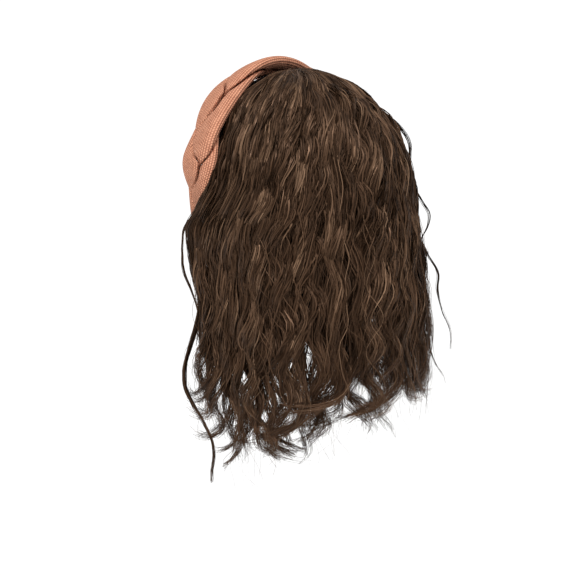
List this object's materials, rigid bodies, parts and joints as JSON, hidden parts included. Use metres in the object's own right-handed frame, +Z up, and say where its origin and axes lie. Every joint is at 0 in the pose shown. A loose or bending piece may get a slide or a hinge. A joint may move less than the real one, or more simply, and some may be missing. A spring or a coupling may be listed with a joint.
{
  "type": "half wig",
  "caption": "Half wig of shoulder-length wavy hair on a thin cap, behind a padded braided knit head band.",
  "frame": {"origin": "the point where the head carries the band: on the crown, under the middle of the band's core", "axes": "+Z up, the wearer's face towards -Y, the wearer's left ear towards +X"},
  "size_m": [0.1842, 0.1657, 0.3343],
  "materials": {
    "knit": "ribbed terracotta knit",
    "core_plastic": "black",
    "binding_satin": "black satin",
    "cap_net": "black stretch net",
    "hair": "dark brown wavy synthetic hair"
  },
  "bodies": {
    "root": {"band_core": "core_plastic", "braid_strand_1": "knit", "braid_strand_2": "knit", "braid_strand_3": "knit", "band_end_left": "knit", "band_end_right": "knit", "wig_cap": "cap_net", "cap_binding": "binding_satin", "hair": "hair"}
  },
  "joints": []
}
